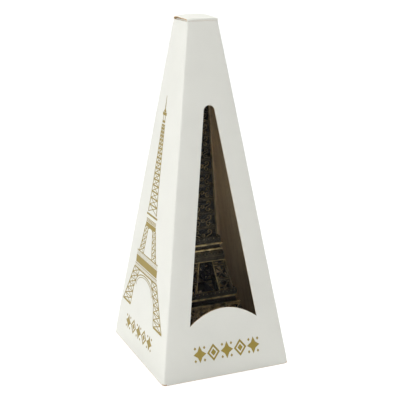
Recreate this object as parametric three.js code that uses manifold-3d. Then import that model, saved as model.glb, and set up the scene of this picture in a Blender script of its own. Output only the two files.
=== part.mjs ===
// A folding pyramid gift carton with a film window and printed panels, and the cast
// miniature lattice tower that stands loose inside it.
// Millimetres, +Z up. The origin is the middle of the carton's footprint, on the surface it
// stands on. The window panel faces -Y and the printed panel faces -X.
import * as THREE from 'three';
import { mergeVertices } from 'three/addons/utils/BufferGeometryUtils.js';
import Module from 'manifold-3d';

const wasm = await Module();
wasm.setup();

// ---- Driving dimensions -------------------------------------------------------------------

const CARTON_HEIGHT = 190;
const BASE_HALF_X = 37.8;
const BASE_HALF_Y = 40.85;
const TOP_HALF_X = 8.85;
const TOP_HALF_Y = 9.56;
const BOARD = 0.5;
const GAP = 0.3;
const MITRE_GAP = 0.22;
const WALL_TOP = CARTON_HEIGHT - BOARD - GAP;

const FILM = 0.2;
const FILM_BOTTOM = 22;
const FILM_TOP = 153;
const FILM_HALF_BOTTOM = 26;
const FILM_HALF_TOP = 8.5;

const WINDOW_BOTTOM = 29.5;
const WINDOW_BOTTOM_HALF = 19.9;
const WINDOW_BOTTOM_RISE = 7.6;
const WINDOW_SHOULDER = 142.5;
const WINDOW_SHOULDER_HALF = 3.2;
const WINDOW_TOP = 145.6;

const TOP_TUCK_LENGTH = 7;
const TOP_TUCK_LEAN = 14;
const TOP_CREASE_Y = 8.9;
const BOTTOM_TUCK_LENGTH = 12;
const BOTTOM_CREASE_Y = -39.6;

const TOWER_FOOT = 1.6;
const PLINTH_TOP = 4.6;
const PLINTH_OUTER = 34.9;
const PLINTH_INNER = 19.9;
const MAST_TIP = TOWER_FOOT + 180;
// Each row is height, outer half width and inner half width of the tower's four legs.
const LOWER_LEG = [[PLINTH_TOP - 0.5, 33.0, 19.8], [17.5, 24.5, 14.2], [30.9, 18.0, 9.3]];
const MIDDLE_LEG = [[36.6, 15.9, 7.2], [48.6, 13.4, 5.0], [61.6, 10.6, 2.6]];
const LEG_WALL = 0.9;
const LEG_STRUT = 1.1;
// Each row is height and half width of a square slab of a platform.
const FIRST_PLATFORM = [[31.2, 32.3, 18.7], [32.2, 35.3, 16.6], [35.2, 36.3, 17.2]];
const FIRST_PLATFORM_HOLE = 7.5;
const SECOND_PLATFORM = [[61.9, 62.9, 10.9], [62.8, 65.1, 9.7], [65, 66, 10.9]];
const SECOND_PLATFORM_HOLE = 3.5;
const THIRD_PLATFORM = [[150.3, 151.4, 6.6], [151.3, 154.5, 4.7], [154.4, 155.3, 5.7]];
const SHAFT_LEVELS = [66.3, 80, 93, 105.5, 117.5, 129, 140, 150];
const SHAFT_HALF_BOTTOM = 8.9;
const SHAFT_HALF_TOP = 5.0;
const SHAFT_WALL = 1.0;
const SHAFT_RAIL = 1.3;
const SHAFT_STRUT = 0.9;
const ARCH_RADIUS = 17.4;
const ARCH_INNER_RADIUS = 15.4;
const ARCH_THICKNESS = 1.2;
const ARCH_FOOT = 6;
const ARCH_FOOT_Y = -30.5;
const ARCH_SLOPE = Math.atan(0.55);
const GIRDER_HALF = 9.1;
const GIRDER_FROM = 26.2;
const GIRDER_TO = 27.4;
const LANTERN_BASE = 155.6;
const LANTERN_TOP = 165;

const WHITE_BOARD = { color: 0xeceae2, roughness: 0.55, metalness: 0 };
const CLEAR_FILM = { color: 0xf2f4f2, roughness: 0.08, metalness: 0, transparent: true, opacity: 0.25 };
const DARK_METAL = { color: 0x3a3326, roughness: 0.45, metalness: 0.8 };

// ---- Helpers ------------------------------------------------------------------------------

const lerp = THREE.MathUtils.lerp;
const deg = THREE.MathUtils.degToRad;

// Half widths of the carton's outer faces at height z.
const halfX = (z) => lerp(BASE_HALF_X, TOP_HALF_X, z / CARTON_HEIGHT);
const halfY = (z) => lerp(BASE_HALF_Y, TOP_HALF_Y, z / CARTON_HEIGHT);

function solid(geometry) {
  const bare = geometry.clone();
  bare.deleteAttribute('normal');
  bare.deleteAttribute('uv');
  const merged = mergeVertices(bare, 1e-4);
  return new wasm.Manifold(new wasm.Mesh({
    numProp: 3,
    vertProperties: merged.attributes.position.array,
    triVerts: new Uint32Array(merged.index.array),
  }));
}

function geometryOf(manifold) {
  const mesh = manifold.getMesh();
  const geometry = new THREE.BufferGeometry();
  geometry.setAttribute('position', new THREE.Float32BufferAttribute(mesh.vertProperties, 3));
  geometry.setIndex(new THREE.Uint32BufferAttribute(mesh.triVerts, 1));
  geometry.computeVertexNormals();
  return geometry;
}

const joined = (geometries) => geometries.map(solid).reduce((a, b) => a.add(b));
const cutBy = (body, geometries) => geometries.reduce((a, g) => a.subtract(solid(g)), body);

// A six-sided block whose corners are placed by a function of the side in X, the side in Y
// and the number of the level, counted from the bottom.
function block(levels, corner) {
  const box = new THREE.BoxGeometry(1, 1, 1, 1, 1, levels - 1);
  const position = box.getAttribute('position');
  for (let i = 0; i < position.count; i++) {
    const level = Math.round((position.getZ(i) + 0.5) * (levels - 1));
    position.setXYZ(i, ...corner(Math.sign(position.getX(i)), Math.sign(position.getY(i)), level));
  }
  return box;
}

// An outline in X and Z, pushed through from one Y to another.
function prismY(outline, from, to) {
  const geometry = new THREE.ExtrudeGeometry(outline, { depth: to - from, bevelEnabled: false });
  return geometry.rotateX(Math.PI / 2).translate(0, to, 0);
}

// An outline in Y and Z, pushed through from one X to another.
function prismX(outline, from, to) {
  const geometry = new THREE.ExtrudeGeometry(outline, { depth: to - from, bevelEnabled: false });
  return geometry.rotateX(Math.PI / 2).rotateZ(Math.PI / 2).translate(from, 0, 0);
}

const polygon = (points) => new THREE.Shape(points.map(([x, y]) => new THREE.Vector2(x, y)));

// A triangle moved in from each of its sides by the same distance.
function insetTriangle(a, b, c, distance) {
  const side = (p, q) => Math.hypot(p[0] - q[0], p[1] - q[1]);
  const [la, lb, lc] = [side(b, c), side(c, a), side(a, b)];
  const around = la + lb + lc;
  const middle = [0, 1].map((k) => (la * a[k] + lb * b[k] + lc * c[k]) / around);
  const area = Math.abs((b[0] - a[0]) * (c[1] - a[1]) - (c[0] - a[0]) * (b[1] - a[1])) / 2;
  const shrink = 1 - distance / (2 * area / around);
  return [a, b, c].map((p) => [0, 1].map((k) => middle[k] + (p[k] - middle[k]) * shrink));
}

// The four triangular openings that leave a cross of two struts in a bay, which is given by
// its corners in order round it.
function crossOpenings([a, b, c, d], strut) {
  const cross = (p, q) => p[0] * q[1] - p[1] * q[0];
  const ac = [c[0] - a[0], c[1] - a[1]];
  const bd = [d[0] - b[0], d[1] - b[1]];
  const t = cross([b[0] - a[0], b[1] - a[1]], bd) / cross(ac, bd);
  const o = [a[0] + ac[0] * t, a[1] + ac[1] * t];
  return [[a, b, o], [b, c, o], [c, d, o], [d, a, o]]
    .map((corners) => polygon(insetTriangle(...corners, strut / 2)));
}

function add(parent, name, geometry, look) {
  const mesh = new THREE.Mesh(geometry, new THREE.MeshStandardMaterial(look));
  mesh.name = name;
  parent.add(mesh);
  return mesh;
}

// ---- Carton sleeve ------------------------------------------------------------------------

// A sloping wall that faces -Y, mitred at its two upright edges.
function wall(across, out, bottom) {
  return block(2, (sideX, sideY, level) => {
    const z = level ? WALL_TOP : bottom;
    const depth = sideY < 0 ? 0 : BOARD;
    return [sideX * (across(z) - depth - MITRE_GAP), depth - out(z), z];
  });
}

// The window: pointed bottom corners, a bowed lower edge, straight sides, a round top.
function windowOutline() {
  const outline = new THREE.Shape();
  outline.moveTo(-WINDOW_BOTTOM_HALF, WINDOW_BOTTOM);
  outline.quadraticCurveTo(0, WINDOW_BOTTOM + 2 * WINDOW_BOTTOM_RISE, WINDOW_BOTTOM_HALF, WINDOW_BOTTOM);
  outline.lineTo(WINDOW_SHOULDER_HALF, WINDOW_SHOULDER);
  outline.quadraticCurveTo(WINDOW_SHOULDER_HALF * 0.85, WINDOW_TOP, 0, WINDOW_TOP);
  outline.quadraticCurveTo(-WINDOW_SHOULDER_HALF * 0.85, WINDOW_TOP, -WINDOW_SHOULDER_HALF, WINDOW_SHOULDER);
  outline.closePath();
  return outline;
}

function carton() {
  const group = new THREE.Group();
  const front = cutBy(solid(wall(halfX, halfY, 0)), [prismY(windowOutline(), -60, 10)]);
  add(group, 'front_window_panel', geometryOf(front), WHITE_BOARD);
  add(group, 'left_panel', wall(halfY, halfX, 0), WHITE_BOARD).rotation.z = -Math.PI / 2;
  add(group, 'right_panel', wall(halfY, halfX, 0), WHITE_BOARD).rotation.z = Math.PI / 2;
  add(group, 'back_panel', wall(halfX, halfY, BOARD + GAP), WHITE_BOARD).rotation.z = Math.PI;

  // The clear film is glued behind the window panel.
  add(group, 'window_film', block(2, (sideX, sideY, level) => {
    const z = level ? FILM_TOP : FILM_BOTTOM;
    const half = level ? FILM_HALF_TOP : FILM_HALF_BOTTOM;
    const depth = BOARD + 0.2 + (sideY < 0 ? 0 : FILM);
    return [sideX * half, depth - halfY(z), z];
  }), CLEAR_FILM);

  // The glue flap joins the right panel to the inside of the back panel.
  add(group, 'glue_flap', block(2, (sideX, sideY, level) => {
    const z = level ? WALL_TOP - 4 : 5;
    const width = level ? 5 : 9;
    const edge = halfX(z) - BOARD - GAP - 0.5;
    const depth = BOARD + GAP - 0.1 + (sideY > 0 ? 0 : BOARD);
    return [edge - (sideX > 0 ? 0 : width), halfY(z) - depth, z];
  }), WHITE_BOARD);
  return group;
}

// ---- Carton flaps -------------------------------------------------------------------------

const plate = (outline, thickness) =>
  new THREE.ExtrudeGeometry(outline, { depth: thickness, bevelEnabled: false, curveSegments: 6 });

// A tuck flap that hangs from y = 0 to y = -length, with rounded free corners.
function tuckOutline(half, length, taper, corner) {
  const outline = new THREE.Shape();
  outline.moveTo(-half, 0);
  outline.lineTo(-half + taper, -length + corner);
  outline.quadraticCurveTo(-half + taper, -length, -half + taper + corner, -length);
  outline.lineTo(half - taper - corner, -length);
  outline.quadraticCurveTo(half - taper, -length, half - taper, -length + corner);
  outline.lineTo(half, 0);
  outline.closePath();
  return outline;
}

// A dust flap that reaches inward from the side wall, cut back at a slant towards the
// closing flap's hinge so that both can swing together.
function dustOutline(side, root, tip, front, back, slantFrom) {
  const chamfer = Math.abs(root - tip) * 0.12;
  return polygon([
    [side * root, front],
    [side * (tip + chamfer), front],
    [side * tip, front + chamfer],
    [side * tip, slantFrom],
    [side * (root - 0.8), back],
    [side * root, back],
  ]);
}

function flaps() {
  const group = new THREE.Group();
  // The top lid is creased to the window panel and tucks in at the back; the bottom lid is
  // creased to the back panel and tucks in at the front.
  const lidTop = new THREE.Shape([
    new THREE.Vector2(-TOP_HALF_X, GAP - TOP_HALF_Y),
    new THREE.Vector2(TOP_HALF_X, GAP - TOP_HALF_Y),
    new THREE.Vector2(TOP_HALF_X, TOP_CREASE_Y + 0.1),
    new THREE.Vector2(-TOP_HALF_X, TOP_CREASE_Y + 0.1),
  ]);
  add(group, 'top_lid', plate(lidTop, BOARD), WHITE_BOARD).position.z = CARTON_HEIGHT - BOARD;

  const topTuck = plate(tuckOutline(8.0, TOP_TUCK_LENGTH, 0.5, 2.5), BOARD).translate(0, 0, -BOARD);
  const tuck = add(group, 'top_tuck_flap', topTuck, WHITE_BOARD);
  tuck.rotation.set(-deg(90 + TOP_TUCK_LEAN), 0, Math.PI);
  tuck.position.set(0, TOP_CREASE_Y, CARTON_HEIGHT - BOARD - GAP - 0.2);

  for (const [name, side] of [['left', -1], ['right', 1]]) {
    const top = plate(dustOutline(-side, 8.0, 0.8, -6.2, 8.4, 2.0), BOARD).rotateZ(Math.PI);
    add(group, `top_dust_flap_${name}`, top, WHITE_BOARD).position.z = WALL_TOP - BOARD - 0.1;
    const bottom = plate(dustOutline(side, 36.6, 6, -37.4, 38.6, 11), BOARD);
    add(group, `bottom_dust_flap_${name}`, bottom, WHITE_BOARD).position.z = BOARD + GAP;
  }

  const lidBottom = polygon([[-37, BOTTOM_CREASE_Y - 0.1], [37, BOTTOM_CREASE_Y - 0.1], [37, 40], [-37, 40]]);
  add(group, 'bottom_lid', plate(lidBottom, BOARD), WHITE_BOARD);

  // The bottom tuck lies along the inside of the sloping window panel.
  const lean = THREE.MathUtils.radToDeg(Math.atan((BASE_HALF_Y - TOP_HALF_Y) / CARTON_HEIGHT));
  const bottomTuck = add(group, 'bottom_tuck_flap', plate(tuckOutline(35.5, BOTTOM_TUCK_LENGTH, 1.5, 6), BOARD), WHITE_BOARD);
  bottomTuck.rotation.x = deg(-90 - lean);
  bottomTuck.position.set(0, BOTTOM_CREASE_Y, BOARD + GAP);
  return group;
}

// ---- Tower --------------------------------------------------------------------------------

// The leg that stands in the +X +Y corner: a hollow square column that leans inwards, with a
// cross of struts in each bay of its four faces.
function latticeLeg(levels) {
  const at = (z) => {
    const k = z < levels[1][0] ? 0 : 1;
    const t = (z - levels[k][0]) / (levels[k + 1][0] - levels[k][0]);
    return [lerp(levels[k][1], levels[k + 1][1], t), lerp(levels[k][2], levels[k + 1][2], t)];
  };
  const heights = levels.map(([z]) => z);
  const column = (zs, inset) => block(3, (sideX, sideY, level) => {
    const [outer, inner] = at(zs[level]);
    const place = (side) => (side > 0 ? outer - inset : inner + inset);
    return [place(sideX), place(sideY), zs[level]];
  });
  const hollow = column([heights[0] + LEG_WALL, heights[1], heights[2] - LEG_WALL], LEG_WALL);
  const openings = [];
  for (let bay = 0; bay < 2; bay++) {
    const [low, high] = [heights[bay] + LEG_WALL * 0.7, heights[bay + 1] - LEG_WALL * 0.7];
    const corners = [
      [at(low)[1] + 0.8, low], [at(low)[0] - 0.8, low],
      [at(high)[0] - 0.8, high], [at(high)[1] + 0.8, high],
    ];
    for (const outline of crossOpenings(corners, LEG_STRUT)) {
      openings.push(prismX(outline, -2, 42), prismY(outline, -2, 42));
    }
  }
  return cutBy(solid(column(heights, 0)), [hollow, ...openings]);
}

// A platform of stacked square slabs with a square well through the middle.
function platform(slabs, hole) {
  const body = joined(slabs.map(([low, high, half]) =>
    new THREE.BoxGeometry(2 * half, 2 * half, high - low).translate(0, 0, (low + high) / 2)));
  if (!hole) return body;
  return cutBy(body, [new THREE.BoxGeometry(2 * hole, 2 * hole, 40).translate(0, 0, slabs[0][0])]);
}

// The decorative arch between the two front legs, with its girder and hangers, made flat
// and then laid back to the slope of the legs.
function arch() {
  const ring = new THREE.Shape();
  ring.absarc(0, 0, ARCH_RADIUS, 0, Math.PI, false);
  ring.absarc(0, 0, ARCH_INNER_RADIUS, Math.PI, 0, true);
  ring.closePath();
  const band = new THREE.ExtrudeGeometry(ring, { depth: ARCH_THICKNESS, bevelEnabled: false, curveSegments: 16 });
  const bar = (x, from, to, width) => new THREE.BoxGeometry(width, to - from, ARCH_THICKNESS)
    .translate(x, (from + to) / 2, ARCH_THICKNESS / 2);
  const bars = [bar(0, GIRDER_FROM, GIRDER_TO, 2 * GIRDER_HALF)];
  for (const x of [-8, -4, 0, 4, 8]) {
    bars.push(bar(x, Math.sqrt(ARCH_RADIUS ** 2 - x ** 2) - 1, GIRDER_FROM + 0.5, 0.9));
  }
  return geometryOf(joined([band, ...bars]));
}

// One face of the upper shaft: a tapering plate pierced to leave crossed struts.
function shaftFace() {
  const [bottom, top] = [SHAFT_LEVELS[0], SHAFT_LEVELS.at(-1)];
  const half = (z) => lerp(SHAFT_HALF_BOTTOM, SHAFT_HALF_TOP, (z - bottom) / (top - bottom));
  const face = block(2, (sideX, sideY, level) => {
    const z = level ? top : bottom;
    const depth = sideY < 0 ? 0 : SHAFT_WALL;
    return [sideX * (half(z) - depth - MITRE_GAP), depth - half(z), z];
  });
  const openings = [];
  for (let bay = 0; bay + 1 < SHAFT_LEVELS.length; bay++) {
    const [low, high] = [SHAFT_LEVELS[bay] + 0.5, SHAFT_LEVELS[bay + 1] - 0.5];
    const [wide, narrow] = [half(low) - SHAFT_RAIL, half(high) - SHAFT_RAIL];
    const corners = [[-wide, low], [wide, low], [narrow, high], [-narrow, high]];
    openings.push(...crossOpenings(corners, SHAFT_STRUT).map((outline) => prismY(outline, -12, 12)));
  }
  return geometryOf(cutBy(solid(face), openings));
}

// A turned shape about the tower's axis, given as radius and height from the bottom up.
function turned(profile, sides) {
  const points = profile.map(([r, z]) => new THREE.Vector2(r, z));
  return new THREE.LatheGeometry(points, sides).rotateX(Math.PI / 2);
}

function tower() {
  const group = new THREE.Group();
  const plinth = block(2, (sideX, sideY, level) => {
    const place = (side) => (side > 0 ? PLINTH_OUTER - level * 1.2 : PLINTH_INNER - level * 0.4);
    return [place(sideX), place(sideY), level ? PLINTH_TOP : TOWER_FOOT];
  });
  const lower = geometryOf(latticeLeg(LOWER_LEG).add(solid(plinth)));
  const middle = geometryOf(latticeLeg(MIDDLE_LEG));
  const corners = ['back_right', 'back_left', 'front_left', 'front_right'];
  corners.forEach((corner, i) => {
    add(group, `lower_leg_${corner}`, lower.clone(), DARK_METAL).rotation.z = i * Math.PI / 2;
    add(group, `middle_leg_${corner}`, middle.clone(), DARK_METAL).rotation.z = i * Math.PI / 2;
  });

  const sides = ['front', 'right', 'back', 'left'];
  sides.forEach((side, i) => {
    const turn = new THREE.Group();
    turn.rotation.z = i * Math.PI / 2;
    const laid = add(turn, `arch_${side}`, arch(), DARK_METAL);
    laid.rotation.x = Math.PI / 2 - ARCH_SLOPE;
    laid.position.set(0, ARCH_FOOT_Y, ARCH_FOOT);
    add(turn, `shaft_face_${side}`, shaftFace(), DARK_METAL);
    group.add(turn);
  });

  add(group, 'first_platform', geometryOf(platform(FIRST_PLATFORM, FIRST_PLATFORM_HOLE)), DARK_METAL);
  add(group, 'second_platform', geometryOf(platform(SECOND_PLATFORM, SECOND_PLATFORM_HOLE)), DARK_METAL);
  add(group, 'third_platform', geometryOf(platform(THIRD_PLATFORM, 0)), DARK_METAL);
  add(group, 'lantern', turned([
    [0, LANTERN_BASE], [3.7, LANTERN_BASE], [3.7, LANTERN_BASE + 1], [2.9, LANTERN_BASE + 1.4],
    [2.6, LANTERN_BASE + 5], [2.9, LANTERN_BASE + 5.4], [2.5, LANTERN_BASE + 6.6],
    [1.2, LANTERN_BASE + 8], [1.1, LANTERN_TOP], [0, LANTERN_TOP],
  ], 12), DARK_METAL);
  add(group, 'mast', turned([
    [0, LANTERN_TOP + GAP], [0.9, LANTERN_TOP + GAP], [0.8, LANTERN_TOP + 6], [0.5, LANTERN_TOP + 6.5],
    [0.45, MAST_TIP - 5], [0.3, MAST_TIP - 4.5], [0.25, MAST_TIP], [0, MAST_TIP],
  ], 8), DARK_METAL);
  return group;
}

const model = new THREE.Group();
model.add(carton(), flaps(), tower());

export default model;
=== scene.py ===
"""A pyramid gift carton with a film window and gold foil print, and the cast lattice tower in it.

All lengths in the shape code are millimetres and become metres where a mesh is made.
+Z is up, the window panel faces -Y and the printed panel faces -X.
"""
import math

import bmesh
import bpy
from mathutils import Matrix, Vector
from mathutils.geometry import tessellate_polygon


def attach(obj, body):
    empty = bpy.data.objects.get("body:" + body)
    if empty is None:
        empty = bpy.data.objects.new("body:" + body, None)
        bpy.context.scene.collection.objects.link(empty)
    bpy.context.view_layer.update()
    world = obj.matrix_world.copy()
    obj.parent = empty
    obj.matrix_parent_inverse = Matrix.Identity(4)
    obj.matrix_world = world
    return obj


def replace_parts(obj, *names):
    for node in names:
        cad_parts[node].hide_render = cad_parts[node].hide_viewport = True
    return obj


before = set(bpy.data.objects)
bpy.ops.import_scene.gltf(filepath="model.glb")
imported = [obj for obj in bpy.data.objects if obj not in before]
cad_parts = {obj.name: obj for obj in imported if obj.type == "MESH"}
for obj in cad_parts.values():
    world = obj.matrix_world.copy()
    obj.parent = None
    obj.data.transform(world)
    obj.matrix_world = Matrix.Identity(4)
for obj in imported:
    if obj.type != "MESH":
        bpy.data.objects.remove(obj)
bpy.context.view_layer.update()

MM = 0.001

# ---- Sizes shared with the frame ----

HEIGHT = 190.0
BASE_X, BASE_Y = 37.8, 40.85
TOP_X, TOP_Y = 8.85, 9.56
BOARD = 0.48
WALL_TOP = 189.2
CREASE_RADIUS = 1.1
BOW = 0.35

WINDOW_BOTTOM, WINDOW_BOTTOM_HALF, WINDOW_RISE = 29.5, 19.9, 7.6
WINDOW_SHOULDER, WINDOW_SHOULDER_HALF, WINDOW_TOP = 142.5, 3.2, 145.6


def lerp(a, b, t):
    return a + (b - a) * t


def clamp(t):
    return min(max(t, 0), 1)


def table(rows, x):
    """Straight-line interpolation in rows of (x, y)."""
    for (x0, y0), (x1, y1) in zip(rows, rows[1:]):
        if x <= x1:
            return lerp(y0, y1, (x - x0) / (x1 - x0))
    return rows[-1][1]


# ---- Materials ----

class Nodes:
    """A material with a Principled shader, and short ways to add nodes to it."""

    def __init__(self, name):
        self.material = bpy.data.materials.new(name)
        self.material.use_nodes = True
        self.tree = self.material.node_tree
        self.shader = self.tree.nodes["Principled BSDF"]
        self.place = self.node("ShaderNodeTexCoord").outputs["Object"]

    def node(self, kind, **values):
        made = self.tree.nodes.new(kind)
        for key, value in values.items():
            setattr(made, key, value)
        return made

    def link(self, a, b):
        self.tree.links.new(a, b)

    def set(self, **values):
        for key, value in values.items():
            self.shader.inputs[key.replace("_", " ")].default_value = value

    def stretched(self, scale):
        mapping = self.node("ShaderNodeMapping")
        mapping.inputs["Scale"].default_value = scale
        self.link(self.place, mapping.inputs["Vector"])
        return mapping.outputs["Vector"]

    def noise(self, scale, detail=4.0, roughness=0.5, vector=None):
        noise = self.node("ShaderNodeTexNoise")
        noise.inputs["Scale"].default_value = scale
        noise.inputs["Detail"].default_value = detail
        noise.inputs["Roughness"].default_value = roughness
        self.link(vector or self.place, noise.inputs["Vector"])
        return noise.outputs["Fac"]

    def ramp(self, factor, *stops):
        ramp = self.node("ShaderNodeValToRGB")
        while len(ramp.color_ramp.elements) < len(stops):
            ramp.color_ramp.elements.new(0.5)
        for element, (at, color) in zip(ramp.color_ramp.elements, stops):
            element.position = at
            element.color = (*color, 1)
        self.link(factor, ramp.inputs["Fac"])
        return ramp.outputs["Color"]

    def span(self, factor, low, high, from_low=0.3, from_high=0.7):
        span = self.node("ShaderNodeMapRange")
        limits = {"From Min": from_low, "From Max": from_high, "To Min": low, "To Max": high}
        for name, value in limits.items():
            span.inputs[name].default_value = value
        self.link(factor, span.inputs["Value"])
        return span.outputs["Result"]

    def product(self, a, b):
        made = self.node("ShaderNodeMath", operation="MULTIPLY")
        self.link(a, made.inputs[0])
        self.link(b, made.inputs[1])
        return made.outputs["Value"]

    def mix(self, factor, a, b, blend="MIX"):
        made = self.node("ShaderNodeMix", data_type="RGBA", blend_type=blend)
        if isinstance(factor, float):
            made.inputs["Factor"].default_value = factor
        else:
            self.link(factor, made.inputs["Factor"])
        self.link(a, made.inputs["A"])
        self.link(b, made.inputs["B"])
        return made.outputs["Result"]

    def color(self, output):
        self.link(output, self.shader.inputs["Base Color"])

    def roughness(self, output):
        self.link(output, self.shader.inputs["Roughness"])

    def bump(self, heights, strength=0.2, distance=0.0002):
        """Adds bumps, each given as a height output, one over another."""
        normal = None
        for height in heights:
            bump = self.node("ShaderNodeBump")
            bump.inputs["Strength"].default_value = strength
            bump.inputs["Distance"].default_value = distance
            self.link(height, bump.inputs["Height"])
            if normal:
                self.link(normal, bump.inputs["Normal"])
            normal = bump.outputs["Normal"]
        self.link(normal, self.shader.inputs["Normal"])


def coated_board():
    """White coated folding board: faint mottling, fine tooth, a soft satin sheen."""
    m = Nodes("coated_board")
    mottle = m.noise(45, 3)
    fibre = m.noise(1400, 5, 0.6, m.stretched((1, 1, 0.35)))
    m.color(m.ramp(mottle, (0.3, (0.74, 0.74, 0.684)), (0.7, (0.768, 0.768, 0.71))))
    m.roughness(m.span(m.noise(320, 4), 0.46, 0.6))
    m.set(Specular_IOR_Level=0.42)
    m.bump([fibre, m.noise(160, 3)], 0.1, 0.00008)
    return m.material


def raw_board():
    """The uncoated grey-brown inside of the board, with fibres along the grain."""
    m = Nodes("raw_board")
    streaks = m.noise(260, 5, 0.65, m.stretched((1, 1, 0.06)))
    specks = m.noise(1500, 3, 0.6, m.stretched((1, 1, 0.4)))
    base = m.ramp(streaks, (0.38, (0.78, 0.62, 0.385)), (0.5, (0.86, 0.695, 0.44)),
                  (0.62, (0.9, 0.745, 0.49)))
    dark = m.ramp(specks, (0.3, (0.45, 0.42, 0.38)), (0.5, (1, 1, 1)))
    m.color(m.mix(0.35, base, dark, "MULTIPLY"))
    m.roughness(m.span(streaks, 0.75, 0.9))
    m.bump([specks, streaks], 0.3, 0.0001)
    return m.material


def cut_edge():
    """The bared edge of the board where it was cut: pale layers with a warm brown core."""
    m = Nodes("cut_edge")
    layers = m.noise(900, 4, 0.6, m.stretched((1, 1, 1.6)))
    m.color(m.ramp(layers, (0.32, (0.38, 0.23, 0.11)), (0.52, (0.58, 0.41, 0.24)),
                   (0.7, (0.7, 0.56, 0.4))))
    m.roughness(m.span(layers, 0.8, 0.95))
    m.bump([layers], 0.4, 0.0001)
    return m.material


def gold_foil():
    """Matte gold print with a fine grain and small thin patches."""
    m = Nodes("gold_foil")
    grain = m.noise(1600, 4, 0.7)
    patch = m.noise(190, 4)
    base = m.ramp(patch, (0.3, (0.29, 0.214, 0.036)), (0.7, (0.34, 0.254, 0.052)))
    light = m.ramp(grain, (0.35, (0.26, 0.19, 0.031)), (0.65, (0.41, 0.322, 0.09)))
    m.color(m.mix(m.span(grain, 0.1, 0.45), base, light))
    m.roughness(m.span(grain, 0.36, 0.56))
    m.set(Metallic=0.42, Specular_IOR_Level=0.3)
    m.bump([grain], 0.15, 0.00003)
    return m.material


def clear_film():
    """Clear glossy film with slow ripples and a little dust."""
    m = Nodes("clear_film")
    ripple = m.noise(26, 2, 0.4, m.stretched((1, 1, 0.35)))
    dust = m.noise(700, 2)
    m.color(m.ramp(dust, (0.4, (0.01, 0.01, 0.01)), (0.7, (0.04, 0.04, 0.04))))
    m.roughness(m.span(dust, 0.05, 0.12))
    m.set(Alpha=0.045, Specular_IOR_Level=1.0, IOR=1.45)
    m.bump([ripple], 0.35, 0.0006)
    return m.material


def patina(name, dark, gold):
    """Blackened cast metal, rubbed back to antique gold where the mesh's wear value says so."""
    m = Nodes(name)
    wear = m.node("ShaderNodeAttribute", attribute_name="wear").outputs["Fac"]
    blotch = m.noise(330, 4, 0.6)
    pits = m.noise(1500, 4, 0.6)
    rubbed = m.product(wear, m.span(blotch, 0.55, 1.0, 0.32, 0.6))
    black = m.ramp(pits, (0.35, tuple(0.55 * c for c in dark)), (0.7, dark))
    bright = m.ramp(blotch, (0.35, tuple(0.6 * c for c in gold)), (0.65, gold))
    m.color(m.mix(rubbed, black, bright))
    m.roughness(m.span(pits, 0.34, 0.55))
    metallic = m.span(rubbed, 0.85, 1.0, 0, 0.8)
    m.link(metallic, m.shader.inputs["Metallic"])
    m.bump([pits, blotch], 0.25, 0.00008)
    return m.material


WHITE, RAW, EDGE = coated_board(), raw_board(), cut_edge()
FOIL, FILM = gold_foil(), clear_film()
CAST = patina("cast_patina", (0.014, 0.0135, 0.012), (0.78, 0.61, 0.3))
BOARD_LOOK = [WHITE, RAW, EDGE]
COATED, INSIDE, CUT = range(3)


# ---- Mesh making ----

def make_object(name, data):
    made = bpy.data.objects.new(name, data)
    bpy.context.scene.collection.objects.link(made)
    return made


class Shell:
    """The faces of one piece, in millimetres, each with a material and a wear value."""

    def __init__(self):
        self.points, self.faces = [], []

    def add(self, points):
        first = len(self.points)
        self.points.extend(Vector(p) for p in points)
        return list(range(first, len(self.points)))

    def face(self, ids, wear=0.0, look=0):
        self.faces.append((tuple(ids), wear, look))

    def bridge(self, a, b, wear=0.0, look=0):
        """Quads between two closed loops of the same length."""
        for i in range(len(a)):
            j = (i + 1) % len(a)
            self.face((a[i], a[j], b[j], b[i]), wear, look)

    def loft(self, loops, wears=None):
        """A closed skin through loops of points; wears has one entry per band."""
        ids = [self.add(loop) for loop in loops]
        wears = wears or [0.0] * (len(ids) - 1)
        for a, b, wear in zip(ids, ids[1:], wears):
            self.bridge(a, b, wear)
        self.face(reversed(ids[0]), wears[0])
        self.face(ids[-1], wears[-1])

    def build(self, name, body, looks, smooth=None):
        """Makes the piece, with a body to ride and a slot; smooth is an angle in degrees."""
        mesh = bpy.data.meshes.new(name)
        mesh.from_pydata([p * MM for p in self.points], [], [f for f, _, _ in self.faces])
        wear = mesh.attributes.new("wear", "FLOAT", "CORNER")
        values = []
        for polygon, (_, amount, look) in zip(mesh.polygons, self.faces):
            polygon.material_index = look
            values += [amount] * len(polygon.loop_indices)
        wear.data.foreach_set("value", values)
        for look in looks:
            mesh.materials.append(look)
        mesh.validate()
        piece = make_object(name, mesh)
        if smooth is not None:
            mesh.shade_smooth()
            mesh.set_sharp_from_angle(angle=math.radians(smooth))
        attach(piece, body)
        return piece

    def cast(self, name, node=None, smooth=None):
        """Builds a piece of the cast tower, which stands in for a node if one is named."""
        piece = self.build(name, "tower", [CAST], smooth)
        if node:
            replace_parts(piece, node)


def inset(loop, distance):
    """A convex anticlockwise outline with every side moved in by distance."""
    out, n = [], len(loop)
    for i in range(n):
        a, b, c = (Vector(loop[(i + k) % n]) for k in (-1, 0, 1))
        d1, d2 = (b - a).normalized(), (c - b).normalized()
        n1, n2 = Vector((-d1.y, d1.x)), Vector((-d2.y, d2.x))
        out.append(b + (n1 + n2) * (distance / (1 + n1.dot(n2))))
    return out


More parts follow.
